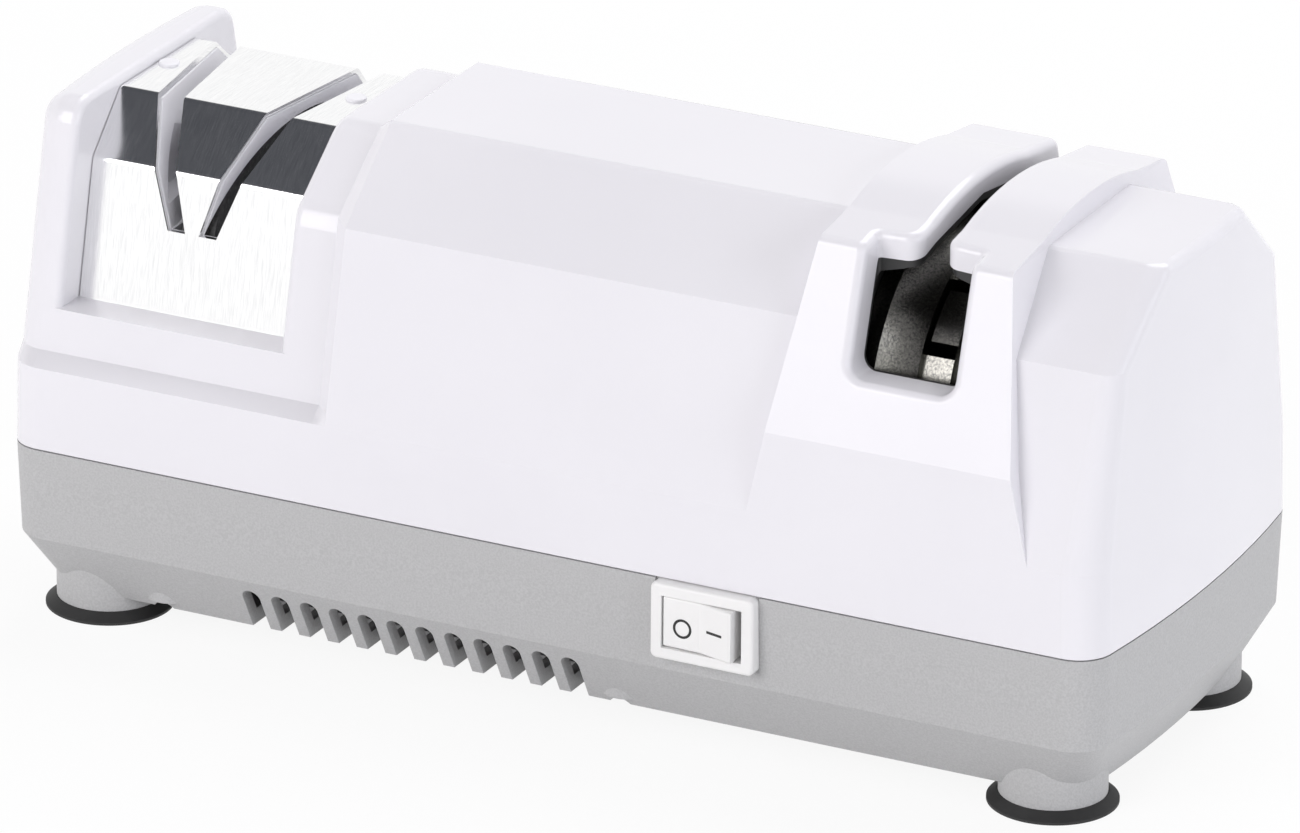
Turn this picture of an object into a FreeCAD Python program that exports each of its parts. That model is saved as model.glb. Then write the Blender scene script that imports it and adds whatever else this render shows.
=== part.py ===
import FreeCAD, Part
import math
import os

V = FreeCAD.Vector
ALONG_X = V(1, 0, 0)
ALONG_Y = V(0, 1, 0)
UP = V(0, 0, 1)
FAR = 200.0

# Body envelope: X along the length, Y from the front to the back, Z up from the floor
body_length = 230.2
body_depth = 87.1
end_bow = 3.2
end_lean = 1.5
corner_radius = 7.0
upper_corner_radius = 4.0
parting_height = 34.5
parting_gap = 0.3
skirt_top = 51.0
panel_rise = 21.3
panel_lean = 8.2
top_rise = 36.5
top_half_depth = 17.5
top_edge_radius = 2.0
wall = 2.6
fit_gap = 0.2
rim_height = 3.5

# Grinding station at the left
cheek_thickness = 11.7
cheek_proud = 1.8
cheek_corner_radius = 6.0
cheek_edge_radius = 5.4
cheek_inner_radius = 1.5
window_frame_width = 12.5
riser_width = 3.0
recess_depth = 2.8
ledge_rise = 2.4
recess_bend_radius = 8.0
window_width = 46.4
window_edge_radius = 2.0
sill_drop = 4.6
station_offset = 22.4
plate_thickness = 1.0
plate_foot_half_depth = 31.1
plate_bevel = 10.5
plate_bend_half_depth = 25.3
plate_clearance = 4.8
plate_top_half_depth = 14.6
plate_bend_radius = 1.6
slot_foot_rise = 10.6
slot_foot_offset = 3.3
slot_foot_depth = -27.7
slot_tilt = 0.30
slot_splay = 0.132
slot_foot_width = 3.7
slot_top_width = 5.5
liner_step = 0.35
rivet_offset = 19.9
rivet_radius = 2.0
rivet_pin_radius = 1.2
rivet_head = 0.5
rivet_depth = 3.0

# Shaft line and wheels
shaft_height = 66.0
shaft_radius = 3.0
shaft_stub = 1.0
shaft_hole_radius = 5.0
running_gap = 0.04
wheel_radius = 27.2
wheel_width = 6.8
wheel_bore_gap = 0.02
wheel_room = 1.3
blade_reach = 12.0
blade_sill = 4.0
shoulder_radius = 4.2
shoulder_width = 3.0
spacer_radius = 9.0
nut_room_radius = 7.0
flange_radius = 11.0
flange_width = 2.0
nut_width = 4.0
nut_across = 10.0

# Honing station at the right
bridge_inset = 44.7
bridge_foot_half_width = 28.2
bridge_waist_half_width = 24.6
bridge_top_half_width = 19.3
waist_rise = 1.2
shoulder_rise = 36.4
shoulder_half_depth = 32.7
shelf_edge_radius = 2.2
crease_rise = 1.8
crease_half_depth = 20.1
crease_radius = 8.0
hump_rise = 2.8
mouth_shift = 0.4
mouth_half_width = 10.4
mouth_rise = 12.8
mouth_corner_radius = 3.0
mouth_back = -26.6
mouth_back_radius = 0.8
mouth_slant = 0.6
slot_half_width = 2.5
slot_lead_radius = 3.0
mouth_edge_radius = 1.7
frame_depth = 6.4
roof_thickness = 4.2
honing_radius = 32.0
honing_foot_radius = 27.0
honing_land = 3.6
honing_taper = 6.4
honing_gap = 6.6
tooth_count = 6
tooth_root = 18.0
tooth_tip = 25.6
tooth_share = 0.40
tooth_overlap = 0.6
chamber_wall = 1.4
chamber_gap = 0.3
chamber_floor_gap = 3.0

# Motor
motor_clearance = 0.5
shaft_room = 20.0
stator_half_size = 26.0
stator_corner = 9.0
air_gap = 0.5
rotor_radius = 15.5
winding_inner = 17.5
winding_outer = 24.0
winding_length = 9.0
coil_radius = 2.4
bracket_gap = 14.0
bracket_thickness = 2.0
bracket_half_width = 24.0
bracket_foot_length = 11.0
bracket_foot_width = 9.0
bracket_foot_offset = 19.5
bracket_foot_height = 20.0
bearing_radius = 7.0
bearing_length = 8.0
bearing_flange_radius = 9.0
bearing_flange = 1.6
bolt_spacing = 19.5
bolt_radius = 1.9
bolt_head_radius = 3.4
bolt_head = 2.4
spacer_tube_radius = 3.2
fan_clearance = 1.0
fan_gap = 2.0
fan_width = 5.0
fan_radius = 25.0
fan_hub_radius = 8.0
fan_blades = 9
fan_disc = 1.4

# Base tray
base_draft = 0.6
chamfer_height = 16.2
chamfer_depth = 7.0
base_bottom = 4.6
base_wall = 3.0
tongue_height = 2.4
tongue_thickness = 1.4
vent_count = 12
vent_first = -61.7
vent_pitch = 6.07
vent_width = 3.7
vent_top = 13.8
vent_reach = 6.5
post_radius = 10.1
post_bottom = 2.0
foot_inset_x = 16.9
foot_inset_y = 14.25
boss_shift = 1.5
boss_right = 13.5
boss_inset = 9.95
boss_radius = 4.4
boss_drop = 1.9
boss_rib = 2.0
pilot_radius = 1.3
pilot_depth = 12.0
screw_radius = 1.25
screw_hole_radius = 1.7
screw_head_radius = 3.1
screw_head = 2.2
screw_well_radius = 3.6
screw_well_top = 20.0
screw_bite = 9.0
pillar_radius = 5.0
gland_x = 60.0
gland_height = 24.0
gland_hole_radius = 5.0
gland_flange_radius = 7.0
gland_bore_radius = 3.2
gland_proud = 3.89
gland_nut_width = 4.0
gland_edge_radius = 1.0

# Suction feet
cup_radius = 12.2
cup_neck_radius = 10.3
cup_lip = 0.5
cup_land = 0.7
cup_hollow = 1.2
plug_radius = 4.6
plug_height = 6.0

# Rocker switch
switch_x = 34.5
switch_height = 26.9
bezel_width = 21.0
bezel_height = 15.0
bezel_proud = 2.3
bezel_seat = 0.7
bezel_corner_radius = 1.2
bezel_edge_radius = 0.7
switch_box_width = 19.2
switch_box_height = 12.9
switch_box_depth = 13.0
rocker_room_width = 16.4
rocker_room_height = 10.4
rocker_room_depth = 8.0
rocker_half_length = 7.4
rocker_half_height = 5.0
rocker_end_proud = 0.6
rocker_dip = 0.8
rocker_pivot_depth = 3.5
rocker_foot = 1.5
rocker_foot_half_length = 6.4
rocker_tilt = 8.0
rocker_edge_radius = 0.5
trunnion_radius = 1.2
trunnion_length = 0.9
terminal_width = 4.8
terminal_thickness = 0.8
terminal_length = 5.5
terminal_spacing = 7.0

# Heights that follow the shaft line
panel_top = shaft_height + panel_rise
body_top = shaft_height + top_rise
sill_height = shaft_height - sill_drop
slot_foot_height = shaft_height + slot_foot_rise
plate_top = shaft_height + wheel_radius + plate_clearance
plate_bend_height = plate_top - plate_bevel
cheek_top = plate_top + cheek_proud
bridge_waist = shaft_height + waist_rise
shoulder_height = shaft_height + shoulder_rise
crease_height = shoulder_height + crease_rise
hump_top = crease_height + hump_rise
mouth_foot = shaft_height + mouth_rise
chamber_bottom = shaft_height - honing_radius - chamber_floor_gap
boss_top = sill_height - boss_drop

# Places along the body, from its ends inwards to the motor
cheek_inner = cheek_thickness - body_length / 2
window_right = cheek_inner + window_width
block_left = window_right + window_frame_width
station_middle = cheek_inner + station_offset
boss_left = station_middle - boss_shift
bridge_middle = body_length / 2 - bridge_inset
mouth_middle = bridge_middle + mouth_shift
honing_half = honing_gap / 2 + honing_taper + honing_land + chamber_gap + chamber_wall + fit_gap
honing_left = mouth_middle - honing_half
honing_right = mouth_middle + honing_half
motor_left = block_left + motor_clearance
motor_right = honing_left - wall
fan_left = motor_left + fan_clearance
bracket_left = fan_left + fan_width + fan_disc + fan_gap + bearing_flange
bracket_right = motor_right - shaft_room
motor_middle = (bracket_left + bracket_right) / 2
bracket_offset = (bracket_right - bracket_left) / 2 - bracket_thickness
stator_length = 2 * (bracket_offset - bracket_gap)

half_depth = body_depth / 2
foot_offset_x = body_length / 2 - foot_inset_x
foot_offset_y = half_depth - foot_inset_y
boss_offset_y = half_depth - boss_inset
bow_radius = (half_depth ** 2 + end_bow ** 2) / (2 * end_bow)
panel_half_depth = half_depth - panel_lean
lean_slope = panel_lean / (panel_top - skirt_top)
base_top = parting_height - parting_gap / 2
housing_bottom = parting_height + parting_gap / 2
shaft_axis = V(0, 0, shaft_height)


def outline(tip, depth, radius, z):
    # Plan outline whose ends are bowed on one large radius, with rounded corners
    bow_x = tip - bow_radius
    corner_y = depth - radius
    corner_x = bow_x + math.sqrt((bow_radius - radius) ** 2 - corner_y ** 2)
    stretch = bow_radius / (bow_radius - radius)
    end_x = bow_x + (corner_x - bow_x) * stretch
    end_y = corner_y * stretch
    middle = (math.atan2(end_y - corner_y, end_x - corner_x) + math.pi / 2) / 2
    mid_x = corner_x + radius * math.cos(middle)
    mid_y = corner_y + radius * math.sin(middle)

    def arc(first, through, last):
        return Part.Arc(V(*first, z), V(*through, z), V(*last, z)).toShape()

    def line(first, last):
        return Part.LineSegment(V(*first, z), V(*last, z)).toShape()

    edges = [
        line((-corner_x, -depth), (corner_x, -depth)),
        arc((corner_x, -depth), (mid_x, -mid_y), (end_x, -end_y)),
        arc((end_x, -end_y), (tip, 0), (end_x, end_y)),
        arc((end_x, end_y), (mid_x, mid_y), (corner_x, depth)),
        line((corner_x, depth), (-corner_x, depth)),
        arc((-corner_x, depth), (-mid_x, mid_y), (-end_x, end_y)),
        arc((-end_x, end_y), (-tip, 0), (-end_x, -end_y)),
        arc((-end_x, -end_y), (-mid_x, -mid_y), (-corner_x, -depth)),
    ]
    return Part.Wire(edges)


def tip_at(z):
    # Half length along the middle at a height: the ends lean in above the parting line
    share = (z - parting_height) / (body_top - parting_height)
    return body_length / 2 - end_lean * share


def level(z, depth, radius):
    return outline(tip_at(z), depth, radius, z)


def both_sides(front):
    # Front half of a cross-section, from the bottom up, closed by its mirror image at the back
    return front + [(-y, z) for y, z in reversed(front)]


def section_wire(points, x):
    return Part.makePolygon([V(x, y, z) for y, z in points + points[:1]])


def bar(points, left, right):
    # Cross-section carried along X
    return Part.Face(section_wire(points, left)).extrude(V(right - left, 0, 0))


def slab(points, front, back):
    # Outline in X and Z carried along Y
    loop = [V(x, front, z) for x, z in points + points[:1]]
    return Part.Face(Part.makePolygon(loop)).extrude(V(0, back - front, 0))


def plan(points, bottom, top):
    # Outline in X and Y carried up
    loop = [V(x, y, bottom) for x, y in points + points[:1]]
    return Part.Face(Part.makePolygon(loop)).extrude(V(0, 0, top - bottom))


def box(low, high):
    size = [b - a for a, b in zip(low, high)]
    return Part.makeBox(*size, V(*low))


def rod(radius, left, right):
    # Round bar on the shaft line
    return Part.makeCylinder(radius, right - left, V(left, 0, shaft_height), ALONG_X)


def turned(profile):
    # Profile of x and radius revolved round the shaft line
    loop = [V(x, 0, shaft_height + r) for x, r in profile + profile[:1]]
    return Part.Face(Part.makePolygon(loop)).revolve(shaft_axis, ALONG_X, 360)


def post(radius, x, y, bottom, top):
    return Part.makeCylinder(radius, top - bottom, V(x, y, bottom), UP)


def edges_on(shape, *surfaces):
    # Edges whose middle lies on every one of the given shapes
    found = []
    for edge in shape.Edges:
        middle = Part.Vertex(edge.valueAt((edge.FirstParameter + edge.LastParameter) / 2))
        if all(middle.distToShape(surface)[0] < 1e-4 for surface in surfaces):
            found.append(edge)
    return found


def inset(points, distance):
    # Cross-section moved inwards by a wall, left open at its foot
    wire = section_wire(points, 0)
    face = Part.Face(wire)
    ring = face.makeOffset2D(-distance, 2)
    return [(v.Point.y, v.Point.z) for v in ring.OuterWire.OrderedVertexes]


def body_front():
    # Front half of the body's cross-section above the skirt
    return [(-half_depth, skirt_top), (-panel_half_depth, panel_top), (-top_half_depth, body_top)]


def recess_front():
    # Front half of the set-back cross-section round the guide plate, with its ledge
    ledge = skirt_top + ledge_rise
    lean = math.cos(math.atan(lean_slope))
    ledge_y = -half_depth + ledge_rise * lean_slope + recess_depth / lean
    bend_y = -panel_half_depth + recess_depth
    return [
        (-half_depth, skirt_top),
        (ledge_y, ledge),
        (bend_y, panel_top + recess_depth * lean_slope),
        (-top_half_depth + recess_depth / 2, body_top - recess_depth * 0.8),
    ]


def skirt():
    return Part.makeLoft(
        [level(housing_bottom, half_depth, corner_radius), level(skirt_top, half_depth, corner_radius)],
        True, True)


def main_block():
    # Middle and right end block: leaning panels, bevels and a flat top with soft edges
    block = Part.makeLoft([
        level(skirt_top, half_depth, corner_radius),
        level(panel_top, panel_half_depth, upper_corner_radius),
        level(body_top, top_half_depth, upper_corner_radius)], True, True)
    top = box((-FAR, -FAR, body_top), (FAR, FAR, body_top + 1))
    block = block.makeFillet(top_edge_radius, edges_on(block, top))
    return block.common(box((block_left, -FAR, 0), (FAR, FAR, FAR)))


def cheek():
    # End fin beside the guide plate, in line with the set-back face, with a rounded rim
    ledge, bend = recess_front()[1:3]
    lean = (bend[0] - ledge[0]) / (bend[1] - ledge[1])
    top_depth = -ledge[0] - (cheek_top - ledge[1]) * lean
    fin = Part.makeLoft([
        level(skirt_top, half_depth, corner_radius),
        level(ledge[1], -ledge[0], cheek_corner_radius),
        level(cheek_top, top_depth, cheek_corner_radius)], True, True)
    top = box((-FAR, -FAR, cheek_top), (FAR, FAR, cheek_top + 1))
    fin = fin.makeFillet(cheek_edge_radius, edges_on(fin, top))
    fin = fin.common(box((-FAR, -FAR, 0), (cheek_inner, FAR, FAR)))
    inner = [e for e in fin.Edges if all(abs(v.X - cheek_inner) < 1e-6 for v in e.Vertexes)
             and e.BoundBox.ZMax > skirt_top + 1e-3]
    return fin.makeFillet(cheek_inner_radius, inner)


def recess_block():
    # Set-back stretch that carries the plate window, and the slanted riser up to the middle block
    points = both_sides(recess_front())
    riser_left = block_left - riser_width
    stretch = bar(points, cheek_inner, riser_left)
    bends = [e for e in stretch.Edges
             if abs(e.tangentAt(e.FirstParameter).x) > 0.99 and e.Vertexes[0].Z > panel_top]
    stretch = stretch.makeFillet(recess_bend_radius, bends)
    ledge = skirt_top + ledge_rise
    full = [(-half_depth, skirt_top), (-half_depth + ledge_rise * lean_slope, ledge)] + body_front()[1:]
    riser = Part.makeLoft(
        [section_wire(points, riser_left), section_wire(both_sides(full), block_left)], True, True)
    joint = bar(points, cheek_inner - 2 * cheek_inner_radius, cheek_inner)
    joint = joint.common(box((-FAR, -FAR, 0), (FAR, FAR, sill_height)))
    return stretch.multiFuse([riser, joint])


def bridge_front():
    return [
        (-half_depth, skirt_top),
        (-half_depth, bridge_waist),
        (-shoulder_half_depth, shoulder_height),
        (-crease_half_depth, crease_height),
    ]


def bridge():
    # Strap over the honing wheels: upright foot, leaning face, shelf and a low arched hump
    front = bridge_front()
    back = [(-y, z) for y, z in reversed(front)]
    left = bridge_middle - bridge_foot_half_width
    lines = [Part.LineSegment(V(left, *a), V(left, *b)).toShape() for a, b in zip(front, front[1:])]
    hump = Part.Arc(V(left, *front[-1]), V(left, 0, hump_top), V(left, *back[0])).toShape()
    lines_back = [Part.LineSegment(V(left, *a), V(left, *b)).toShape() for a, b in zip(back, back[1:])]
    foot = Part.LineSegment(V(left, *back[-1]), V(left, *front[0])).toShape()
    face = Part.Face(Part.Wire(lines + [hump] + lines_back + [foot]))
    strap = face.extrude(V(2 * bridge_foot_half_width, 0, 0))
    strap = strap.makeFillet(shelf_edge_radius, along_x(strap, shoulder_half_depth, shoulder_height))
    strap = strap.makeFillet(crease_radius, along_x(strap, crease_half_depth, crease_height))
    sides = [
        (bridge_middle - bridge_foot_half_width, skirt_top),
        (bridge_middle - bridge_waist_half_width, bridge_waist),
        (bridge_middle - bridge_top_half_width, shoulder_height),
        (bridge_middle - bridge_top_half_width, FAR),
        (bridge_middle + bridge_top_half_width, FAR),
        (bridge_middle + bridge_top_half_width, shoulder_height),
        (bridge_middle + bridge_waist_half_width, bridge_waist),
        (bridge_middle + bridge_foot_half_width, skirt_top),
    ]
    return strap.common(slab(sides, -FAR, FAR))


def along_x(shape, y, z):
    # The pair of lengthwise edges at a distance from the middle and a height
    return [e for e in shape.Edges
            if abs(e.Vertexes[0].X - e.Vertexes[-1].X) > 1
            and all(abs(abs(v.Y) - y) < 1e-3 and abs(v.Z - z) < 1e-3 for v in e.Vertexes)]


def mouth(grow):
    # Opening over the honing wheels: a wide window at the front that narrows to a slot out at the back
    wide = mouth_half_width + grow
    narrow = slot_half_width + grow
    back = mouth_back + grow
    half = [(wide, -FAR), (wide, back - mouth_slant), (narrow, back), (narrow, FAR)]
    points = [(mouth_middle + x, y) for x, y in half]
    points += [(mouth_middle - x, y) for x, y in reversed(half)]
    prism = plan(points, mouth_foot - grow, FAR)
    uprights = [e for e in prism.Edges if abs(e.tangentAt(e.FirstParameter).z) > 0.99]
    leads = [e for e in uprights if abs(e.Vertexes[0].Y - back) < 1e-6]
    prism = prism.makeFillet(slot_lead_radius, leads)
    ends = [e for e in prism.Edges if abs(e.tangentAt(e.FirstParameter).z) > 0.99
            and abs(e.Vertexes[0].Y - back + mouth_slant) < 1e-6]
    prism = prism.makeFillet(mouth_back_radius, ends)
    foot = mouth_foot - grow
    view = box((mouth_middle - wide, -FAR, foot), (mouth_middle + wide, FAR, FAR))
    view = view.makeFillet(mouth_corner_radius, [e for e in view.Edges
                                                 if abs(e.tangentAt(e.FirstParameter).y) > 0.99
                                                 and abs(e.Vertexes[0].Z - foot) < 1e-6])
    return prism.common(view)


def window():
    # Room over the sill for the guide plate, open at the front, top and back
    return box((cheek_inner, -FAR, sill_height), (window_right, FAR, FAR))


def ring_core(distance, bottom, top):
    # Body outline moved inwards, carried straight up
    wires = [outline(body_length / 2 - distance, half_depth - distance, corner_radius - distance, z)
             for z in (bottom, top)]
    return Part.makeLoft(wires, True, True)


def recess_room():
    # The motor room carried on under the set-back stretch
    front = recess_front()[1:]
    points = inset(both_sides([(front[0][0], 0)] + front), wall)
    return bar(points, window_right + 2 * wall, motor_left)


def motor_room():
    points = inset(both_sides([(-half_depth, 0)] + body_front()), wall)
    return bar(points, motor_left, motor_right)


def end_room():
    points = inset(both_sides([(-half_depth, 0)] + body_front()), wall)
    return bar(points, honing_right + 2 * wall, tip_at(body_top) - end_bow - wall)


def honing_front():
    # Front half of the room behind the window frame
    slope = (half_depth - shoulder_half_depth) / (shoulder_height - bridge_waist)
    roof = shoulder_height - roof_thickness
    face = half_depth - (roof - bridge_waist) * slope
    return [
        (frame_depth - half_depth, 0),
        (frame_depth - half_depth, bridge_waist),
        (frame_depth - face, roof),
        (-crease_half_depth, crease_height - roof_thickness),
        (0, hump_top - roof_thickness),
    ]


def honing_points():
    front = honing_front()
    return front + [(-y, z) for y, z in reversed(front[:-1])]


def grinding_room():
    # Space under the sill shelf, and the hole in the shelf for the wheel
    ledge_y = half_depth - recess_depth - wall
    shelf = sill_height - wall
    front = [(wall - half_depth, 0), (wall - half_depth, skirt_top - wall), (-ledge_y, skirt_top),
             (-ledge_y + wall, shelf)]
    room = bar(both_sides(front), -tip_at(skirt_top) + end_bow + 2 * wall, window_right + wall)
    side = wheel_width / 2 + flange_width + nut_width + wheel_room
    hole = box((station_middle - side, -wheel_radius - wheel_room, shelf - 1),
               (station_middle + side, wheel_radius + wheel_room, sill_height + 1))
    return room.fuse(hole)


def case_bosses():
    # Screw pillars of the housing, each tied to the side wall by a rib
    shapes = []
    for x in (boss_left, boss_right):
        for side in (-1, 1):
            y = side * boss_offset_y
            boss = post(boss_radius, x, y, parting_height, boss_top)
            wall_y = side * (half_depth - wall / 2)
            low, high = sorted((y, wall_y))
            rib = box((x - boss_rib / 2, low, parting_height + rim_height + 1),
                      (x + boss_rib / 2, high, skirt_top - wall))
            pilot = post(pilot_radius, x, y, parting_height, parting_height + pilot_depth)
            shapes.append(boss.fuse(rib).cut(pilot))
    return shapes


def upper_housing():
    fin = cheek()
    strap = bridge()
    outside = recess_block()
    shell = skirt().multiFuse([main_block(), fin, outside, strap]).removeSplitter()
    opening = mouth(0)
    cut = shell.cut(opening)
    lip = edges_on(cut, Part.Shell(opening.Faces), Part.Shell(strap.Faces))
    cut = cut.makeFillet(mouth_edge_radius, lip)
    room = window()
    cut = cut.cut(room)
    side = [f for f in room.Faces if abs(f.CenterOfMass.x - window_right) < 1e-6][0]
    cut = cut.makeFillet(window_edge_radius, edges_on(cut, side, Part.Shell(outside.Faces)))
    rooms = [
        ring_core(wall, 0, parting_height + rim_height),
        motor_room(),
        recess_room(),
        end_room(),
        bar(honing_points(), honing_left, honing_right),
        grinding_room(),
        rod(shaft_hole_radius, station_middle, honing_right),
        rod(nut_room_radius, honing_right, honing_right + 2 * wall),
    ]
    for hollow in rooms:
        cut = cut.cut(hollow)
    return cut.multiFuse(case_bosses()).removeSplitter()


def base_level(distance, radius, z):
    return outline(body_length / 2 - distance, half_depth - distance, radius, z)


def chamfer_inset(z):
    # How far the foot chamfer has moved in at a height
    slope = (chamfer_depth - base_draft) / (chamfer_height - base_bottom)
    return base_draft + (chamfer_height - z) * slope


def tray_block():
    return Part.makeLoft([
        base_level(0, corner_radius, base_top),
        base_level(base_draft, corner_radius, chamfer_height),
        base_level(chamfer_depth, corner_radius, base_bottom)], True, True)


def tray_room():
    floor = base_bottom + base_wall
    return Part.makeLoft([
        base_level(base_wall, corner_radius - base_wall, base_top + 1),
        base_level(base_wall + base_draft, corner_radius - base_wall, chamfer_height),
        base_level(base_wall + chamfer_inset(floor), corner_radius - base_wall, floor)], True, True)


def tongue():
    # Lip that locates the tray inside the housing's rim
    low = base_top - tongue_height
    high = base_top + tongue_height
    outer = wall + fit_gap
    return ring_core(outer, low, high).cut(ring_core(outer + tongue_thickness, low - 1, high + 1))


def vents():
    # Row of round-topped slots through the foot chamfer, at the front and at the back
    cutters = []
    radius = vent_width / 2
    inner = half_depth - chamfer_depth - vent_reach
    for number in range(vent_count):
        x = vent_first + number * vent_pitch
        for start in (-FAR, inner):
            low = V(x, start, vent_top - radius)
            top = Part.makeCylinder(radius, FAR - inner, low, ALONG_Y)
            leg = box((x - radius, start, -1), (x + radius, start + FAR - inner, low.z))
            cutters += [top, leg]
    return cutters


def four(x, y):
    return [(a, b) for a in (-x, x) for b in (-y, y)]


def boss_places():
    return [(x, side * boss_offset_y) for x in (boss_left, boss_right) for side in (-1, 1)]


def pillar_places():
    reach = bracket_offset + bracket_thickness + bracket_foot_length / 2
    return [(motor_middle + x, y) for x, y in four(reach, bracket_foot_offset)]


def switch_pocket():
    # Seat for the bezel and the hole for the box behind it
    seat = bezel_back()
    half_x = bezel_width / 2 + fit_gap / 2
    half_z = bezel_height / 2 + fit_gap / 2
    recess = box((switch_x - half_x, -FAR, switch_height - half_z),
                 (switch_x + half_x, seat, switch_height + half_z))
    half_x = switch_box_width / 2 + fit_gap
    half_z = switch_box_height / 2 + fit_gap
    hole = box((switch_x - half_x, seat - 1, switch_height - half_z),
               (switch_x + half_x, seat + 3 * base_wall, switch_height + half_z))
    return recess.fuse(hole)


def base_tray():
    tray = tray_block().cut(tray_room())
    floor = base_bottom + base_wall / 2
    added = [tongue()]
    added += [post(screw_well_radius + wall / 2, x, y, floor, base_top) for x, y in boss_places()]
    added += [post(pillar_radius, x, y, floor, bracket_foot_height) for x, y in pillar_places()]
    added += [post(post_radius, x, y, post_bottom, base_bottom + 2 * base_wall)
              for x, y in four(foot_offset_x, foot_offset_y)]
    tray = tray.multiFuse(added)
    cuts = vents() + [switch_pocket()]
    for x, y in boss_places():
        cuts.append(post(screw_well_radius, x, y, -1, screw_well_top))
        cuts.append(post(screw_hole_radius, x, y, 0, FAR))
    for x, y in pillar_places():
        cuts.append(post(pilot_radius, x, y, bracket_foot_height - pilot_depth, FAR))
    for x, y in four(foot_offset_x, foot_offset_y):
        cuts.append(post(plug_radius + fit_gap / 2, x, y, 0, post_bottom + plug_height + fit_gap))
    hole = V(gland_x, 0, gland_height)
    cuts.append(Part.makeCylinder(gland_hole_radius, FAR, hole, ALONG_Y))
    seat = hole + V(0, gland_seat(), 0)
    cuts.append(Part.makeCylinder(gland_flange_radius + fit_gap, FAR, seat, ALONG_Y))
    return tray.cut(Part.makeCompound(cuts)).removeSplitter()


def plate_front(distance):
    # Front half of the guide plate's cross-section, moved inwards
    points = both_sides([
        (-plate_foot_half_depth, sill_height),
        (-plate_bend_half_depth, plate_bend_height),
        (-plate_top_half_depth, plate_top)])
    return points if distance == 0 else inset(points, distance)


def plate_form(distance, gap):
    # Solid form under the plate's outside, its bends rounded
    form = bar(plate_front(distance), cheek_inner + gap, window_right - gap)
    bends = [e for e in form.Edges
             if abs(e.tangentAt(e.FirstParameter).x) > 0.99 and e.Vertexes[0].Z > slot_foot_height]
    return form.makeFillet(plate_bend_radius - distance, bends)


def blade_slot(side, trim):
    # Slanted, splayed blade slot from the front face over the top to the back face
    growth = (slot_top_width - slot_foot_width) / (plate_top - slot_foot_height) / 2
    loops = []
    for y in (-body_depth, body_depth):
        corners = []
        for z, edge in ((slot_foot_height, -1), (slot_foot_height, 1), (body_top, 1), (body_top, -1)):
            rise = z - slot_foot_height
            middle = slot_foot_offset + slot_tilt * rise + slot_splay * (y - slot_foot_depth)
            width = slot_foot_width / 2 + growth * rise - trim
            corners.append(V(station_middle + side * (middle + edge * width), y, z))
        loops.append(Part.makePolygon(corners + corners[:1]))
    return Part.makeLoft(loops, True, True)


def rivet_places():
    return [(station_middle - rivet_offset, 0), (station_middle + rivet_offset, 0)]


def guide_plate():
    plate = plate_form(0, fit_gap).cut(bar(plate_front(plate_thickness), -FAR, FAR))
    plate = plate.cut(box((-FAR, 1 - plate_foot_half_depth, 0), (FAR, plate_foot_half_depth - 1,
                                                                 sill_height + plate_thickness)))
    for side in (-1, 1):
        plate = plate.cut(blade_slot(side, 0))
    for x, y in rivet_places():
        plate = plate.cut(post(rivet_pin_radius + fit_gap / 4, x, y, 0, FAR))
    return plate


def plate_rivets():
    rivets = []
    for x, y in rivet_places():
        head = post(rivet_radius, x, y, plate_top, plate_top + rivet_head)
        rim = [e for e in head.Edges if abs(e.valueAt(e.FirstParameter).z - plate_top - rivet_head) < 1e-6
               and e.Closed]
        head = head.makeFillet(rivet_head * 0.7, rim)
        pin = post(rivet_pin_radius, x, y, plate_top - rivet_depth, plate_top)
        rivets.append(head.fuse(pin).removeSplitter())
    return Part.makeCompound(rivets)


def blade_guide():
    block = plate_form(plate_thickness + fit_gap / 2, 2 * fit_gap)
    for side in (-1, 1):
        block = block.cut(blade_slot(side, liner_step))
    half = wheel_width / 2 + wheel_room
    block = block.cut(rod(wheel_radius + wheel_room, station_middle - half, station_middle + half))
    # Above the foot of the slots the room is wide, so that a blade in either slot meets the wheel
    open_room = rod(wheel_radius + wheel_room, station_middle - blade_reach, station_middle + blade_reach)
    sill = slot_foot_height + blade_sill
    block = block.cut(open_room.common(box((-FAR, -FAR, sill), (FAR, FAR, FAR))))
    reach = half + flange_width + nut_width + shaft_stub
    block = block.cut(rod(flange_radius + wheel_room, station_middle - reach, station_middle + reach))
    block = block.cut(rod(shaft_hole_radius, station_middle, FAR))
    for x, y in rivet_places():
        block = block.cut(post(rivet_pin_radius + fit_gap / 4, x, y, plate_top - rivet_depth - 1, FAR))
    return block


def bored(solid):
    # Seat on the shaft
    return solid.cut(rod(shaft_radius + wheel_bore_gap, -FAR, FAR))


def grinding_wheel():
    half = wheel_width / 2
    return bored(rod(wheel_radius, station_middle - half, station_middle + half))


def grinding_flanges():
    half = wheel_width / 2
    rings = []
    for start in (station_middle - half - flange_width, station_middle + half):
        rings.append(bored(rod(flange_radius, start, start + flange_width)))
    return Part.makeCompound(rings)


def honing_outer():
    return honing_gap / 2 + honing_taper + honing_land


def shaft_nuts():
    clamp = wheel_width / 2 + flange_width
    starts = [station_middle - clamp - nut_width, station_middle + clamp, mouth_middle + honing_outer()]
    nuts = []
    for start in starts:
        corner = nut_across / math.sqrt(3)
        loop = [(corner * math.cos(math.radians(60 * k)), corner * math.sin(math.radians(60 * k)))
                for k in range(6)]
        nut = bar([(y, shaft_height + z) for y, z in loop], start, start + nut_width)
        nuts.append(bored(nut))
    return Part.makeCompound(nuts)


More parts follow.
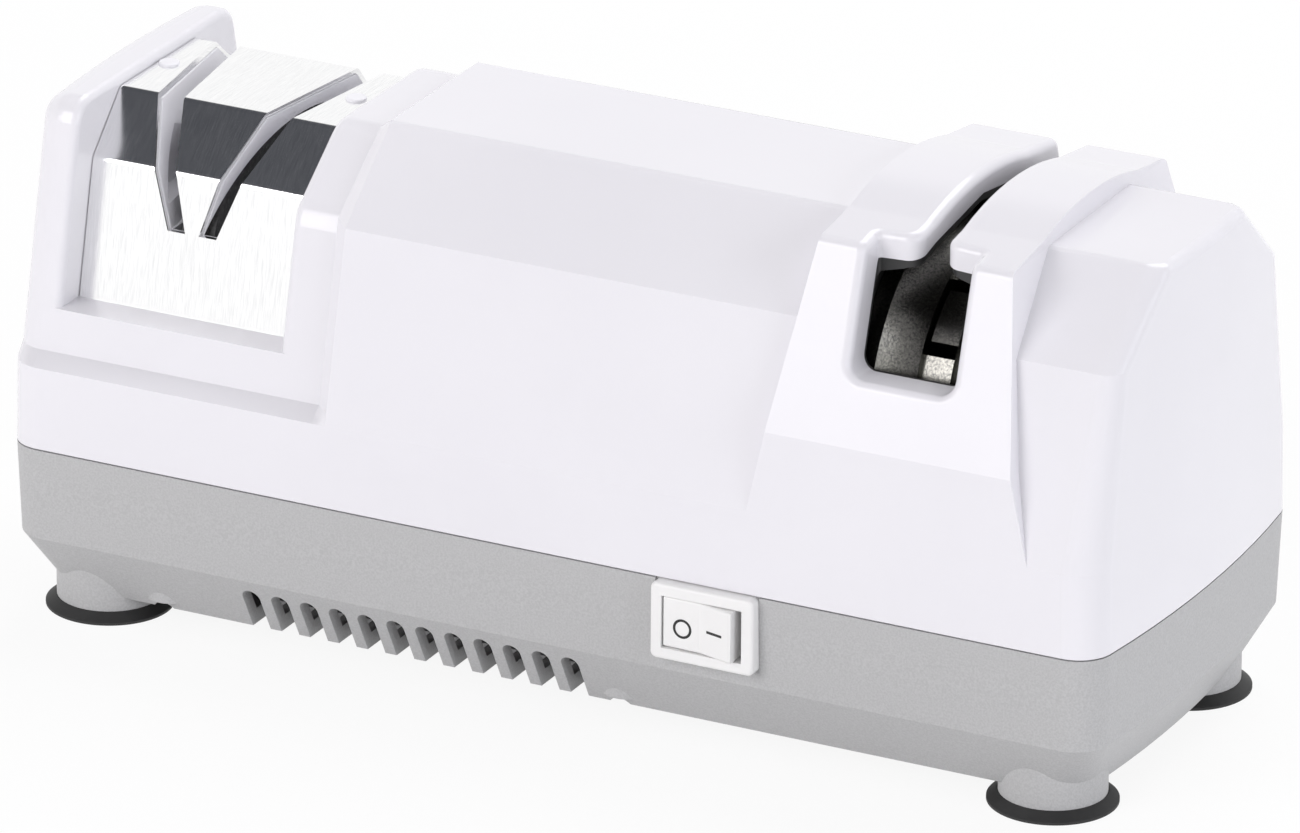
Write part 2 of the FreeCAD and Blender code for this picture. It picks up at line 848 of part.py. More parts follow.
def honing_wheel(side):
    # Cone-edged wheel with teeth that reach between those of its partner
    inner = mouth_middle + side * honing_gap / 2
    cone = inner + side * honing_taper
    outer = cone + side * honing_land
    wheel = turned([(inner, 0), (inner, honing_foot_radius), (cone, honing_radius),
                    (outer, honing_radius), (outer, 0)])
    reach = honing_gap - tooth_overlap
    start = min(inner, inner - side * reach)
    pitch = 360 / tooth_count
    for number in range(tooth_count):
        tooth = Part.makeCylinder(tooth_tip, reach, V(0, 0, 0), ALONG_X, pitch * tooth_share)
        tooth = tooth.cut(Part.makeCylinder(tooth_root, reach, V(0, 0, 0), ALONG_X))
        tooth.rotate(V(0, 0, 0), ALONG_X, number * pitch + (pitch / 2 if side > 0 else 0))
        tooth.translate(V(start, 0, shaft_height))
        wheel = wheel.fuse(tooth)
    return bored(wheel.removeSplitter())


def honing_wheel_left():
    return honing_wheel(-1)


def honing_wheel_right():
    return honing_wheel(1)


def honing_spacer():
    half = honing_gap / 2
    return bored(rod(spacer_radius, mouth_middle - half, mouth_middle + half))


def honing_chamber():
    # Dark liner round the honing wheels, open where the housing's mouth is
    points = [(y, max(z, chamber_bottom)) for y, z in honing_points()]
    left = honing_left + fit_gap
    right = honing_right - fit_gap
    outer = bar(inset(points, fit_gap), left, right)
    hollow = inset(points, fit_gap + chamber_wall)
    liner = outer.cut(bar(hollow, left + chamber_wall, right - chamber_wall))
    liner = liner.cut(mouth(2 * fit_gap))
    liner = liner.cut(rod(shaft_hole_radius, 0, mouth_middle))
    return liner.cut(rod(nut_room_radius, mouth_middle, FAR))


def motor_shaft():
    left = station_middle - wheel_width / 2 - flange_width - nut_width - shaft_stub
    right = mouth_middle + honing_outer() + nut_width + shaft_stub
    shaft = rod(shaft_radius, left, right)
    stop = mouth_middle - honing_outer()
    return shaft.fuse(rod(shoulder_radius, stop - shoulder_width, stop)).removeSplitter()


def rotor_core():
    half = stator_length / 2 - air_gap
    return bored(rod(rotor_radius, motor_middle - half, motor_middle + half))


def bolt_places():
    return four(bolt_spacing, bolt_spacing)


def across_bolts(solid, radius):
    for y, z in bolt_places():
        solid = solid.cut(Part.makeCylinder(radius, 2 * FAR, V(-FAR, y, shaft_height + z), ALONG_X))
    return solid


def stator_core():
    a = stator_half_size
    b = a - stator_corner
    loop = [(-a, -b), (-b, -a), (b, -a), (a, -b), (a, b), (b, a), (-b, a), (-a, b)]
    half = stator_length / 2
    core = bar([(y, shaft_height + z) for y, z in loop], motor_middle - half, motor_middle + half)
    core = core.cut(rod(rotor_radius + air_gap, -FAR, FAR))
    return across_bolts(core, bolt_radius + fit_gap / 4)


def stator_windings():
    half = stator_length / 2
    coils = []
    for start in (motor_middle - half - winding_length, motor_middle + half):
        coil = rod(winding_outer, start, start + winding_length)
        coil = coil.cut(rod(winding_inner, start, start + winding_length))
        coils.append(coil.makeFillet(coil_radius, [e for e in coil.Edges if e.Closed]))
    return Part.makeCompound(coils)


def motor_bracket(side):
    # Pressed plate on two feet that carries the bearing and the stator bolts
    a = bracket_half_width
    b = a - stator_corner
    leg = bracket_foot_offset - bracket_foot_width / 2
    low = bracket_foot_height
    loop = [(-a, low), (-a, shaft_height + b), (-b, shaft_height + a), (b, shaft_height + a),
            (a, shaft_height + b), (a, low), (leg, low), (leg, shaft_height - a),
            (-leg, shaft_height - a), (-leg, low)]
    near = motor_middle + side * bracket_offset
    far = near + side * bracket_thickness
    plate = bar(loop, min(near, far), max(near, far))
    tip = far + side * bracket_foot_length
    for end in (-1, 1):
        edge_in = end * leg
        edge_out = end * a
        foot = box((min(near, tip), min(edge_in, edge_out), low),
                   (max(near, tip), max(edge_in, edge_out), low + bracket_thickness))
        plate = plate.fuse(foot)
    for x, y in pillar_places():
        plate = plate.cut(post(screw_hole_radius, x, y, 0, shaft_height / 2))
    plate = plate.cut(rod(bearing_radius + fit_gap / 4, -FAR, FAR))
    return across_bolts(plate, bolt_radius + fit_gap / 4).removeSplitter()


def motor_bracket_left():
    return motor_bracket(-1)


def motor_bracket_right():
    return motor_bracket(1)


def bearing(side):
    face = motor_middle + side * (bracket_offset + bracket_thickness)
    body = rod(bearing_radius, *sorted((face, face - side * bearing_length)))
    rim = rod(bearing_flange_radius, *sorted((face, face + side * bearing_flange)))
    return body.fuse(rim).removeSplitter().cut(rod(shaft_radius + running_gap, -FAR, FAR))


def bearing_left():
    return bearing(-1)


def bearing_right():
    return bearing(1)


def cooling_fan():
    right = fan_left + fan_width
    fan = rod(fan_hub_radius, fan_left, right + fan_disc)
    fan = fan.fuse(rod(fan_radius, right, right + fan_disc))
    for number in range(fan_blades):
        blade = box((fan_left, -fan_disc / 2, fan_hub_radius - 1), (right, fan_disc / 2, fan_radius))
        blade.rotate(V(0, 0, 0), ALONG_X, number * 360 / fan_blades)
        blade.translate(shaft_axis)
        fan = fan.fuse(blade)
    return bored(fan.removeSplitter())


def stator_bolts():
    bolts = []
    face = bracket_offset + bracket_thickness
    for y, z in bolt_places():
        start = V(motor_middle - face, y, shaft_height + z)
        bolt = Part.makeCylinder(bolt_radius, 2 * face, start, ALONG_X)
        for x in (-face - bolt_head, face):
            end = V(motor_middle + x, y, shaft_height + z)
            bolt = bolt.fuse(Part.makeCylinder(bolt_head_radius, bolt_head, end, ALONG_X))
        bolts.append(bolt.removeSplitter())
    return Part.makeCompound(bolts)


def stator_spacers():
    tubes = []
    half = stator_length / 2
    for y, z in bolt_places():
        for start in (-bracket_offset, half):
            place = V(motor_middle + start, y, shaft_height + z)
            tube = Part.makeCylinder(spacer_tube_radius, bracket_gap, place, ALONG_X)
            bore = Part.makeCylinder(bolt_radius + fit_gap / 4, bracket_gap, place, ALONG_X)
            tubes.append(tube.cut(bore))
    return Part.makeCompound(tubes)


def screw(x, y, under_head, direction, length):
    # Pan-headed screw: the shank runs one way from the underside of the head
    head_z = under_head if direction < 0 else under_head - screw_head
    head = post(screw_head_radius, x, y, head_z, head_z + screw_head)
    low = min(under_head, under_head + direction * length)
    return head.fuse(post(screw_radius, x, y, low, low + length)).removeSplitter()


def bracket_screws():
    top = bracket_foot_height + bracket_thickness
    return Part.makeCompound([screw(x, y, top, -1, screw_bite) for x, y in pillar_places()])


def case_screws():
    length = parting_height - screw_well_top + screw_bite
    return Part.makeCompound([screw(x, y, screw_well_top, 1, length) for x, y in boss_places()])


def bezel_back():
    return bezel_seat - half_depth


def bezel_face():
    return -half_depth - bezel_proud


def gland_seat():
    return half_depth - bezel_seat


def pivot_y():
    return bezel_face() + rocker_pivot_depth


def switch_block(width, height, front, back):
    return box((switch_x - width / 2, front, switch_height - height / 2),
               (switch_x + width / 2, back, switch_height + height / 2))


def switch_body():
    bezel = switch_block(bezel_width, bezel_height, bezel_face(), bezel_back())
    upright = [e for e in bezel.Edges if abs(e.tangentAt(e.FirstParameter).y) > 0.99]
    bezel = bezel.makeFillet(bezel_corner_radius, upright)
    front = [e for e in bezel.Edges if all(abs(v.Y - bezel_face()) < 1e-6 for v in e.Vertexes)]
    bezel = bezel.makeFillet(bezel_edge_radius, front)
    back = bezel_back() + switch_box_depth
    body = bezel.fuse(switch_block(switch_box_width, switch_box_height, bezel_back(), back))
    room = switch_block(rocker_room_width, rocker_room_height, -FAR, bezel_face() + rocker_room_depth)
    body = body.cut(room)
    pin = V(switch_x, pivot_y(), switch_height)
    reach = rocker_half_height + trunnion_length + fit_gap / 2
    hole = Part.makeCylinder(trunnion_radius + running_gap, 2 * reach, pin - V(0, 0, reach), UP)
    return body.cut(hole).removeSplitter()


def switch_rocker():
    end = rocker_pivot_depth + rocker_end_proud
    profile = [(-rocker_half_length, end), (0, end - rocker_dip), (rocker_half_length, end),
               (rocker_foot_half_length, -rocker_foot), (-rocker_foot_half_length, -rocker_foot)]
    points = [(switch_x + u, pivot_y() - w) for u, w in profile]
    rocker = plan(points, switch_height - rocker_half_height, switch_height + rocker_half_height)
    rims = [e for e in rocker.Edges if all(v.Y < pivot_y() - rocker_foot for v in e.Vertexes)
            and abs(e.tangentAt(e.FirstParameter).z) < 0.5]
    rocker = rocker.makeFillet(rocker_edge_radius, rims)
    reach = rocker_half_height + trunnion_length
    pin = V(switch_x, pivot_y(), switch_height)
    rocker = rocker.fuse(Part.makeCylinder(trunnion_radius, 2 * reach, pin - V(0, 0, reach), UP))
    rocker = rocker.removeSplitter()
    rocker.rotate(pin, UP, -rocker_tilt)
    return rocker


def switch_terminals():
    back = bezel_back() + switch_box_depth
    blades = []
    for x in (switch_x - terminal_spacing / 2, switch_x + terminal_spacing / 2):
        blades.append(box((x - terminal_thickness / 2, back, switch_height - terminal_width / 2),
                          (x + terminal_thickness / 2, back + terminal_length,
                           switch_height + terminal_width / 2)))
    return Part.makeCompound(blades)


def foot(x, y):
    # Suction cup with a plug that presses into the post
    top = post_bottom + plug_height
    rim = cup_radius - cup_land
    profile = [(0, cup_hollow), (rim * 0.75, cup_hollow * 0.6), (rim, 0), (cup_radius, 0),
               (cup_radius, cup_lip), (cup_neck_radius, post_bottom), (plug_radius, post_bottom),
               (plug_radius, top), (0, top)]
    loop = [V(x + r, y, z) for r, z in profile + profile[:1]]
    return Part.Face(Part.makePolygon(loop)).revolve(V(x, y, 0), UP, 360)


def foot_front_left():
    return foot(-foot_offset_x, -foot_offset_y)


def foot_front_right():
    return foot(foot_offset_x, -foot_offset_y)


def foot_back_left():
    return foot(-foot_offset_x, foot_offset_y)


def foot_back_right():
    return foot(foot_offset_x, foot_offset_y)


def cord_gland():
    # Snap-in collar in the back wall, with the bore for the mains lead
    seat = gland_seat()
    inner = half_depth - base_draft - base_wall
    place = V(gland_x, inner - gland_nut_width, gland_height)
    collar = Part.makeCylinder(gland_hole_radius - fit_gap / 2, seat - place.y, place, ALONG_Y)
    flange = Part.makeCylinder(gland_flange_radius, half_depth + gland_proud - seat,
                               V(gland_x, seat, gland_height), ALONG_Y)
    rim = [e for e in flange.Edges if e.Closed and e.valueAt(e.FirstParameter).y > half_depth]
    flange = flange.makeFillet(gland_edge_radius, rim)
    catch = Part.makeCylinder(gland_flange_radius, gland_nut_width - fit_gap, place, ALONG_Y)
    gland = collar.multiFuse([flange, catch]).removeSplitter()
    return gland.cut(Part.makeCylinder(gland_bore_radius, FAR, V(gland_x, 0, gland_height), ALONG_Y))


parts = [
    upper_housing, base_tray, guide_plate, plate_rivets, blade_guide, grinding_wheel, grinding_flanges,
    shaft_nuts, honing_spacer, honing_wheel_left, honing_wheel_right, honing_chamber, motor_shaft,
    rotor_core, stator_core, stator_windings, stator_bolts, stator_spacers, motor_bracket_left,
    motor_bracket_right, bearing_left, bearing_right, cooling_fan, bracket_screws, case_screws,
    switch_body, switch_rocker, switch_terminals, foot_front_left, foot_front_right, foot_back_left,
    foot_back_right, cord_gland,
]

os.makedirs("parts", exist_ok=True)
for make in parts:
    shape = make()
    shape.exportStep("parts/" + make.__name__ + ".step")
    print(make.__name__, shape.isValid(), len(shape.Solids), round(shape.Volume / 1000, 2))
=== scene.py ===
import bpy
import math
import numpy as np
from mathutils import Matrix, Vector


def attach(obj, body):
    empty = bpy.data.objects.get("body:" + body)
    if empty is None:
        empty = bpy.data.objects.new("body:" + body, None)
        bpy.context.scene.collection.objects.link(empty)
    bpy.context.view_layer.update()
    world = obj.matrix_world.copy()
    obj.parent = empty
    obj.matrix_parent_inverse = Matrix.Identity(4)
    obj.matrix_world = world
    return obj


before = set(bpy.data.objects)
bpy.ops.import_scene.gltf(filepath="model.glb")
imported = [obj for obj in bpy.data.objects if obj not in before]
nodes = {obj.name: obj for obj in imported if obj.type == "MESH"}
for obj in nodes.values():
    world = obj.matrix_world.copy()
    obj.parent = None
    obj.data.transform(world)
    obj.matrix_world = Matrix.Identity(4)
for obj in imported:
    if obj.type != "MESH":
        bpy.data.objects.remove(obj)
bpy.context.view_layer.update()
mm = 0.001
print("frame loaded:", len(nodes), "nodes")

scene = bpy.context.scene
scene.view_settings.view_transform = "Standard"


# small helpers for shader graphs

def newMaterial(name):
    mat = bpy.data.materials.new(name)
    mat.use_nodes = True
    tree = mat.node_tree
    tree.nodes.clear()
    out = tree.nodes.new("ShaderNodeOutputMaterial")
    shader = tree.nodes.new("ShaderNodeBsdfPrincipled")
    tree.links.new(shader.outputs[0], out.inputs["Surface"])
    return mat, tree, shader


def objectCoords(tree, scale=(1, 1, 1), turn=(0, 0, 0)):
    # object coordinates through a Mapping, so a pattern can be stretched or turned
    coords = tree.nodes.new("ShaderNodeTexCoord")
    mapping = tree.nodes.new("ShaderNodeMapping")
    mapping.inputs["Scale"].default_value = scale
    mapping.inputs["Rotation"].default_value = turn
    tree.links.new(coords.outputs["Object"], mapping.inputs["Vector"])
    return mapping.outputs["Vector"]


def noise(tree, vector, scale, detail=3.0, roughness=0.5):
    tex = tree.nodes.new("ShaderNodeTexNoise")
    tex.inputs["Scale"].default_value = scale
    tex.inputs["Detail"].default_value = detail
    tex.inputs["Roughness"].default_value = roughness
    tree.links.new(vector, tex.inputs["Vector"])
    return tex.outputs["Fac"]


def ramp(tree, fac, stops):
    # stops: (position, (r, g, b)) or (position, grey)
    node = tree.nodes.new("ShaderNodeValToRGB")
    bands = node.color_ramp.elements
    while len(bands) < len(stops):
        bands.new(0.5)
    for band, (at, tone) in zip(bands, stops):
        band.position = at
        rgb = tone if isinstance(tone, tuple) else (tone, tone, tone)
        band.color = rgb + (1,)
    tree.links.new(fac, node.inputs["Fac"])
    return node.outputs["Color"]


def bump(tree, shader, height, strength, distance):
    node = tree.nodes.new("ShaderNodeBump")
    node.inputs["Strength"].default_value = strength
    node.inputs["Distance"].default_value = distance
    tree.links.new(height, node.inputs["Height"])
    tree.links.new(node.outputs["Normal"], shader.inputs["Normal"])


def dress(mat, *names):
    for name in names:
        slots = nodes[name].data.materials
        slots.clear()
        slots.append(mat)


# moulded finishes

moulding = {
    "whiteDeep": (0.80, 0.789, 0.828),
    "whiteLight": (0.83, 0.819, 0.856),
    "gloss": 0.17,
    "insertDeep": (0.84, 0.835, 0.875),
    "insertLight": (0.88, 0.875, 0.91),
    "insertSheen": 0.45,
    "switchDeep": (0.86, 0.855, 0.85),
    "switchLight": (0.89, 0.885, 0.88),
    "switchSheen": 0.35,
    "greyDeep": (0.445, 0.445, 0.448),
    "greyLight": (0.507, 0.507, 0.510),
    "greySheen": 0.55,
    "grain": 2600.0,
}


def glossWhite():
    mat, tree, shader = newMaterial("glossWhiteMoulding")
    cloud = noise(tree, objectCoords(tree), 14.0)
    tone = ramp(tree, cloud, [(0.3, moulding["whiteDeep"]), (0.7, moulding["whiteLight"])])
    tree.links.new(tone, shader.inputs["Base Color"])
    shader.inputs["Roughness"].default_value = moulding["gloss"]
    shader.inputs["Specular IOR Level"].default_value = 0.5
    ripple = noise(tree, objectCoords(tree), 90.0, 1.0)
    bump(tree, shader, ripple, 0.05, 0.0004)
    return mat


def satinWhite(name, deep, light, roughness):
    mat, tree, shader = newMaterial(name)
    cloud = noise(tree, objectCoords(tree), 60.0)
    tone = ramp(tree, cloud, [(0.3, deep), (0.7, light)])
    tree.links.new(tone, shader.inputs["Base Color"])
    shader.inputs["Roughness"].default_value = roughness
    grain = noise(tree, objectCoords(tree), 1800.0, 2.0)
    bump(tree, shader, grain, 0.08, 0.0001)
    return mat


def sparkGrey():
    mat, tree, shader = newMaterial("sparkTexturedGrey")
    speck = noise(tree, objectCoords(tree), moulding["grain"], 2.0)
    tone = ramp(tree, speck, [(0.35, moulding["greyDeep"]), (0.65, moulding["greyLight"])])
    tree.links.new(tone, shader.inputs["Base Color"])
    shader.inputs["Roughness"].default_value = moulding["greySheen"]
    bump(tree, shader, speck, 0.25, 0.00012)
    return mat


whiteShell = glossWhite()
whiteInsert = satinWhite("satinWhiteInsert", moulding["insertDeep"], moulding["insertLight"],
                         moulding["insertSheen"])
switchWhite = satinWhite("switchWhite", moulding["switchDeep"], moulding["switchLight"],
                         moulding["switchSheen"])
greyTray = sparkGrey()
dress(whiteShell, "upper_housing")
dress(whiteInsert, "blade_guide", "plate_rivets")
dress(switchWhite, "switch_body", "switch_rocker")
dress(greyTray, "base_tray")
print("mouldings dressed")


# metals

sheet = {
    "deep": (0.83, 0.832, 0.838),
    "light": (0.95, 0.95, 0.95),
    "across": 7000.0,
    "alongSlope": 260.0,
    "smoothest": 0.13,
    "roughest": 0.20,
}


def brushedSheet():
    # fine streaks from front to back, on colour, roughness and height
    mat, tree, shader = newMaterial("brushedGuideSheet")
    stretch = (sheet["across"], sheet["alongSlope"], sheet["alongSlope"])
    fine = noise(tree, objectCoords(tree, stretch), 1.0, 3.0, 0.55)
    tone = ramp(tree, fine, [(0.3, sheet["deep"]), (0.7, sheet["light"])])
    tree.links.new(tone, shader.inputs["Base Color"])
    shader.inputs["Metallic"].default_value = 1.0
    rough = ramp(tree, fine, [(0.3, sheet["smoothest"]), (0.7, sheet["roughest"])])
    tree.links.new(rough, shader.inputs["Roughness"])
    bump(tree, shader, fine, 0.05, 0.00003)
    return mat


def plainMetal(name, deep, light, roughness, scale=120.0):
    mat, tree, shader = newMaterial(name)
    cloud = noise(tree, objectCoords(tree), scale)
    tone = ramp(tree, cloud, [(0.3, deep), (0.7, light)])
    tree.links.new(tone, shader.inputs["Base Color"])
    shader.inputs["Metallic"].default_value = 1.0
    shader.inputs["Roughness"].default_value = roughness
    return mat


dress(brushedSheet(), "guide_plate")
zinc = plainMetal("zincPlate", (0.50, 0.50, 0.52), (0.62, 0.62, 0.63), 0.38)
dress(zinc, "grinding_flanges", "shaft_nuts", "stator_bolts", "stator_spacers", "motor_bracket_left",
      "motor_bracket_right", "bracket_screws", "case_screws")
dress(plainMetal("groundShaft", (0.58, 0.58, 0.59), (0.66, 0.66, 0.67), 0.25), "motor_shaft")
dress(plainMetal("motorSteel", (0.22, 0.22, 0.23), (0.32, 0.32, 0.33), 0.5), "rotor_core", "stator_core")
dress(plainMetal("copperWire", (0.45, 0.19, 0.08), (0.62, 0.30, 0.14), 0.42, 700.0), "stator_windings")
dress(plainMetal("sinteredBronze", (0.45, 0.31, 0.14), (0.56, 0.41, 0.20), 0.5),
      "bearing_left", "bearing_right", "switch_terminals")
print("metals dressed")


# dark compounds

def gritCompound(name, deep, light, sparkle, roughness, scale):
    # dark grains with a few bright ones
    mat, tree, shader = newMaterial(name)
    coarse = noise(tree, objectCoords(tree), scale, 4.0, 0.65)
    tone = ramp(tree, coarse, [(0.30, deep), (0.62, light), (0.74, sparkle)])
    tree.links.new(tone, shader.inputs["Base Color"])
    shader.inputs["Roughness"].default_value = roughness
    bump(tree, shader, coarse, 0.5, 0.0002)
    return mat


cone = {
    "bond": (0.075, 0.075, 0.074),
    "grain": (0.19, 0.186, 0.170),
    "bright": (0.27, 0.264, 0.238),
    "size": 2300.0,
    "sheen": 0.24,
}


def gritCone():
    # grit bonded on metal: fine grains in a dark bond, with a dull sheen
    mat, tree, shader = newMaterial("gritBondedCone")
    grains = noise(tree, objectCoords(tree), cone["size"], 4.0, 0.7)
    tone = ramp(tree, grains, [(0.34, cone["bond"]), (0.50, cone["grain"]), (0.68, cone["bright"])])
    tree.links.new(tone, shader.inputs["Base Color"])
    shader.inputs["Metallic"].default_value = 1.0
    shader.inputs["Roughness"].default_value = cone["sheen"]
    bump(tree, shader, grains, 0.15, 0.00008)
    return mat


def darkSmooth(name, tone, roughness):
    mat, tree, shader = newMaterial(name)
    cloud = noise(tree, objectCoords(tree), 200.0)
    shade = ramp(tree, cloud, [(0.3, tone), (0.7, tone * 1.35)])
    tree.links.new(shade, shader.inputs["Base Color"])
    shader.inputs["Roughness"].default_value = roughness
    grain = noise(tree, objectCoords(tree), 1500.0, 2.0)
    bump(tree, shader, grain, 0.1, 0.0001)
    return mat


dress(gritCone(), "honing_wheel_left", "honing_wheel_right")
dress(gritCompound("grindingGrit", 0.030, 0.085, 0.30, 0.6, 1500.0), "grinding_wheel")
blackPlastic = darkSmooth("blackPlastic", 0.026, 0.42)
dress(blackPlastic, "honing_chamber", "honing_spacer", "cooling_fan", "cord_gland")
blackRubber = darkSmooth("blackRubber", 0.016, 0.62)
dress(blackRubber, "foot_front_left", "foot_front_right", "foot_back_left", "foot_back_right")
print("dark pieces dressed")


# switch marks: a flat ring for off and a bar for on, printed on the two slopes of the rocker

marks = {
    "pivot": (34.5, -42.35, 26.9),
    "end": 4.1, "dip": 0.8, "halfLength": 7.4, "tilt": 8.0,
    "ringAt": -3.5, "ringRise": -0.8, "ringRadius": 1.66, "ringWidth": 0.50,
    "barAt": 3.5, "barRise": -0.15, "barLength": 3.6, "barWidth": 0.52,
    "lift": 0.03,
}


def onRocker(u, v):
    # place on the rocker's face: u along its length and v up, on the slope that u falls on,
    # then tilted about the pivot
    outward = marks["end"] - marks["dip"] * (1 - np.abs(u) / marks["halfLength"]) + marks["lift"]
    turn = math.radians(-marks["tilt"])
    x = u * math.cos(turn) + outward * math.sin(turn)
    y = u * math.sin(turn) - outward * math.cos(turn)
    px, py, pz = marks["pivot"]
    return np.stack([px + x, py + y, pz + v], -1) * mm


def gridMesh(name, grid, closed=False):
    # quads over a grid of points, joined round the first direction when closed
    rows, cols = grid.shape[:2]
    index = np.arange(rows * cols).reshape(rows, cols)
    if closed:
        index = np.vstack([index, index[:1]])
    quads = np.stack([index[:-1, :-1], index[1:, :-1], index[1:, 1:], index[:-1, 1:]], -1).reshape(-1, 4)
    mesh = bpy.data.meshes.new(name)
    mesh.from_pydata(grid.reshape(-1, 3).tolist(), [], quads.tolist())
    mesh.update()
    piece = bpy.data.objects.new(name, mesh)
    scene.collection.objects.link(piece)
    return piece


def printedInk():
    mat, tree, shader = newMaterial("printedInk")
    speck = noise(tree, objectCoords(tree), 2500.0, 2.0)
    tone = ramp(tree, speck, [(0.3, 0.010), (0.7, 0.022)])
    tree.links.new(tone, shader.inputs["Base Color"])
    shader.inputs["Roughness"].default_value = 0.5
    return mat


ink = printedInk()
around = np.linspace(0, 2 * np.pi, 64, endpoint=False)[:, None]
across = np.linspace(-0.5, 0.5, 3)[None, :]
radius = marks["ringRadius"] + across * marks["ringWidth"]
ring = gridMesh("offRing", onRocker(marks["ringAt"] + radius * np.cos(around),
                                    marks["ringRise"] + radius * np.sin(around)), True)
along = np.linspace(-0.5, 0.5, 9)[:, None]
bar = gridMesh("onBar", onRocker(marks["barAt"] + along * marks["barLength"] + 0 * across,
                                 marks["barRise"] + across * marks["barWidth"] + 0 * along))
for piece in (ring, bar):
    piece.data.materials.append(ink)
    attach(piece, "rocker")
print("switch marks placed")


# floor, light and camera

stageSet = {
    "floorTone": 0.90,
    "floorGlow": 0.90,
    "horizon": 1.00,
    "zenith": 0.42,
    "mirrorHorizon": 1.66,
    "mirrorZenith": (0.115, 0.120, 0.137),
    "worldStrength": 0.63,
    "key": {"at": (-0.9, -1.8, 1.0), "size": 1.3, "watts": 21.5, "tint": (1.0, 0.98, 1.0)},
    "fill": {"at": (1.8, -0.4, 0.45), "size": 1.2, "watts": 11.0, "tint": (0.92, 0.93, 1.0)},
    "top": {"at": (0.1, 1.1, 1.75), "size": 1.4, "watts": 25.0, "tint": (0.99, 0.985, 1.0)},
}


def seenDirectly(tree):
    # 1 for camera, glossy and transmission rays
    path = tree.nodes.new("ShaderNodeLightPath")
    total = path.outputs["Is Camera Ray"]
    for name in ("Is Glossy Ray", "Is Transmission Ray"):
        node = tree.nodes.new("ShaderNodeMath")
        node.operation = "MAXIMUM"
        tree.links.new(total, node.inputs[0])
        tree.links.new(path.outputs[name], node.inputs[1])
        total = node.outputs[0]
    return total


def paleFloor():
    mat = bpy.data.materials.new("paleFloor")
    mat.use_nodes = True
    tree = mat.node_tree
    tree.nodes.clear()
    out = tree.nodes.new("ShaderNodeOutputMaterial")
    matte = tree.nodes.new("ShaderNodeBsdfDiffuse")
    matte.inputs["Color"].default_value = (stageSet["floorTone"],) * 3 + (1,)
    glow = tree.nodes.new("ShaderNodeEmission")
    share = tree.nodes.new("ShaderNodeMath")
    share.operation = "MULTIPLY"
    share.inputs[1].default_value = stageSet["floorGlow"]
    tree.links.new(seenDirectly(tree), share.inputs[0])
    mix = tree.nodes.new("ShaderNodeMixShader")
    tree.links.new(share.outputs[0], mix.inputs["Fac"])
    tree.links.new(matte.outputs[0], mix.inputs[1])
    tree.links.new(glow.outputs[0], mix.inputs[2])
    tree.links.new(mix.outputs[0], out.inputs["Surface"])
    return mat


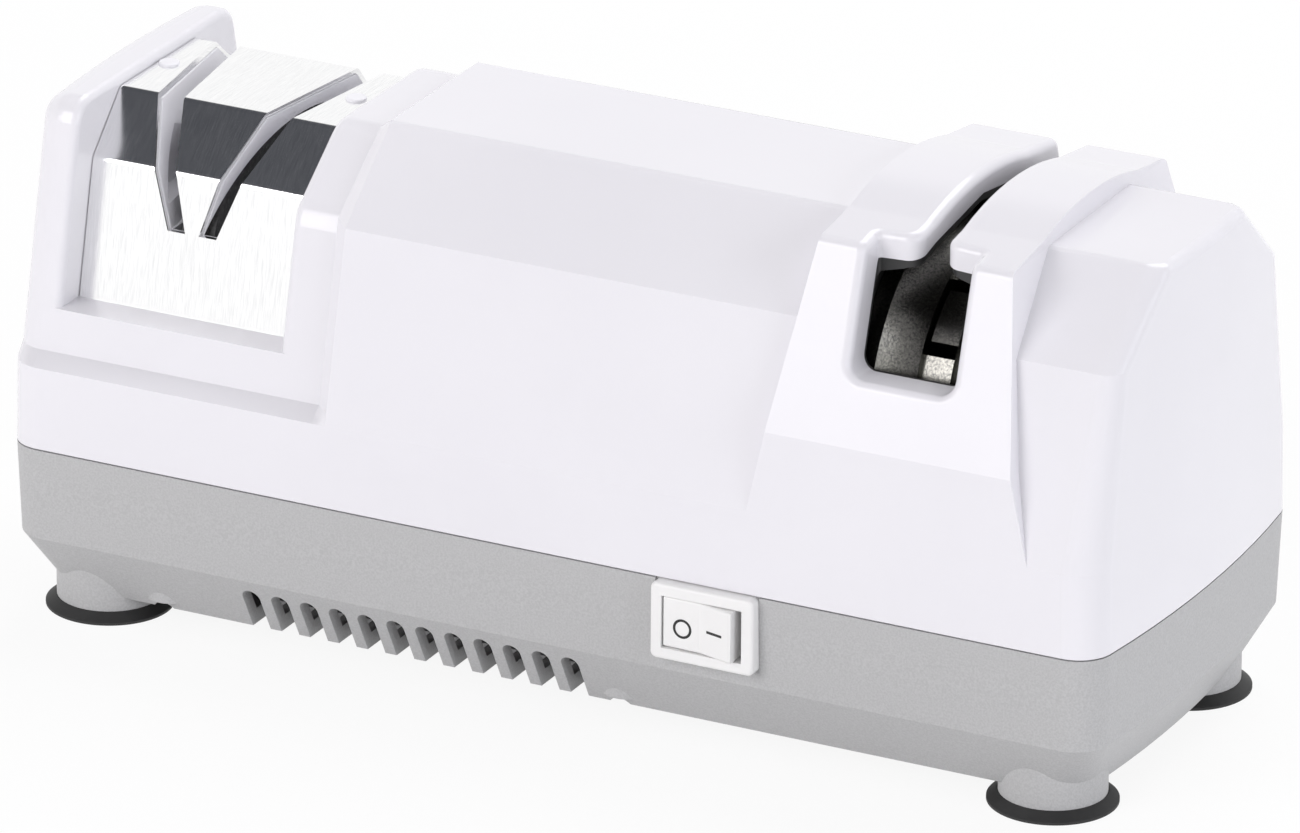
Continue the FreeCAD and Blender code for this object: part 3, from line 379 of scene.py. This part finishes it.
def studioWorld():
    # bright round the horizon, dimmer overhead, and dark overhead in mirror-like surfaces
    world = bpy.data.worlds.new("studioWorld")
    world.use_nodes = True
    scene.world = world
    tree = world.node_tree
    tree.nodes.clear()
    out = tree.nodes.new("ShaderNodeOutputWorld")
    sky = tree.nodes.new("ShaderNodeBackground")
    sky.inputs["Strength"].default_value = stageSet["worldStrength"]
    coords = tree.nodes.new("ShaderNodeTexCoord")
    split = tree.nodes.new("ShaderNodeSeparateXYZ")
    tree.links.new(coords.outputs["Generated"], split.inputs[0])
    tone = ramp(tree, split.outputs["Z"], [(0.0, stageSet["horizon"]), (0.45, stageSet["horizon"]),
                                           (0.75, stageSet["zenith"])])
    mirrored = ramp(tree, split.outputs["Z"], [(0.0, stageSet["mirrorHorizon"]),
                                               (0.52, stageSet["mirrorHorizon"]),
                                               (0.66, stageSet["mirrorZenith"])])
    path = tree.nodes.new("ShaderNodeLightPath")
    mix = tree.nodes.new("ShaderNodeMix")
    mix.data_type = "RGBA"
    tree.links.new(path.outputs["Is Glossy Ray"], mix.inputs[0])
    tree.links.new(tone, mix.inputs[6])
    tree.links.new(mirrored, mix.inputs[7])
    tree.links.new(mix.outputs[2], sky.inputs["Color"])
    tree.links.new(sky.outputs[0], out.inputs["Surface"])


def softLamp(name, spec):
    light = bpy.data.lights.new(name, "AREA")
    light.shape = "SQUARE"
    light.size = spec["size"]
    light.energy = spec["watts"]
    light.color = spec["tint"]
    lamp = bpy.data.objects.new(name, light)
    lamp.location = spec["at"]
    aim = Vector((0, 0, 0.05)) - Vector(spec["at"])
    lamp.rotation_euler = aim.to_track_quat("-Z", "Y").to_euler()
    scene.collection.objects.link(lamp)


corners = np.array([[[-4, -4, 0], [-4, 4, 0]], [[4, -4, 0], [4, 4, 0]]], float)
floor = gridMesh("floor", corners)
floor.data.materials.append(paleFloor())
studioWorld()
for lampName in ("key", "fill", "top"):
    softLamp(lampName + "Lamp", stageSet[lampName])

viewer = {
    "azimuth": 26.71, "elevation": 23.32, "roll": 0.45,
    "distance": 2.3374, "focal": 12472.1,
    "size": (1300, 833), "originAt": (644.8, 642.2),
}


def placeCamera():
    # the photo's camera: aimed through the middle of the frame, with the origin where it was measured
    az = math.radians(viewer["azimuth"])
    el = math.radians(viewer["elevation"])
    back = Vector((math.sin(az) * math.cos(el), -math.cos(az) * math.cos(el), math.sin(el)))
    right = Vector((math.cos(az), math.sin(az), 0))
    up = back.cross(right)
    tilt = Matrix.Rotation(math.radians(viewer["roll"]), 3, back)
    right = tilt @ right
    up = tilt @ up
    width, height = viewer["size"]
    offX = (width / 2 - viewer["originAt"][0]) / viewer["focal"]
    offY = (height / 2 - viewer["originAt"][1]) / viewer["focal"]
    aim = (-back + right * offX - up * offY).normalized()
    side = aim.cross(up).normalized()
    lens = bpy.data.cameras.new("photoCamera")
    lens.sensor_width = 36
    lens.lens = viewer["focal"] / width * lens.sensor_width
    lens.clip_end = 50
    camera = bpy.data.objects.new("photoCamera", lens)
    camera.matrix_world = Matrix.Translation(back * viewer["distance"]) @ Matrix(
        (side, side.cross(aim), -aim)).transposed().to_4x4()
    scene.collection.objects.link(camera)
    scene.camera = camera


placeCamera()
print("stage set")
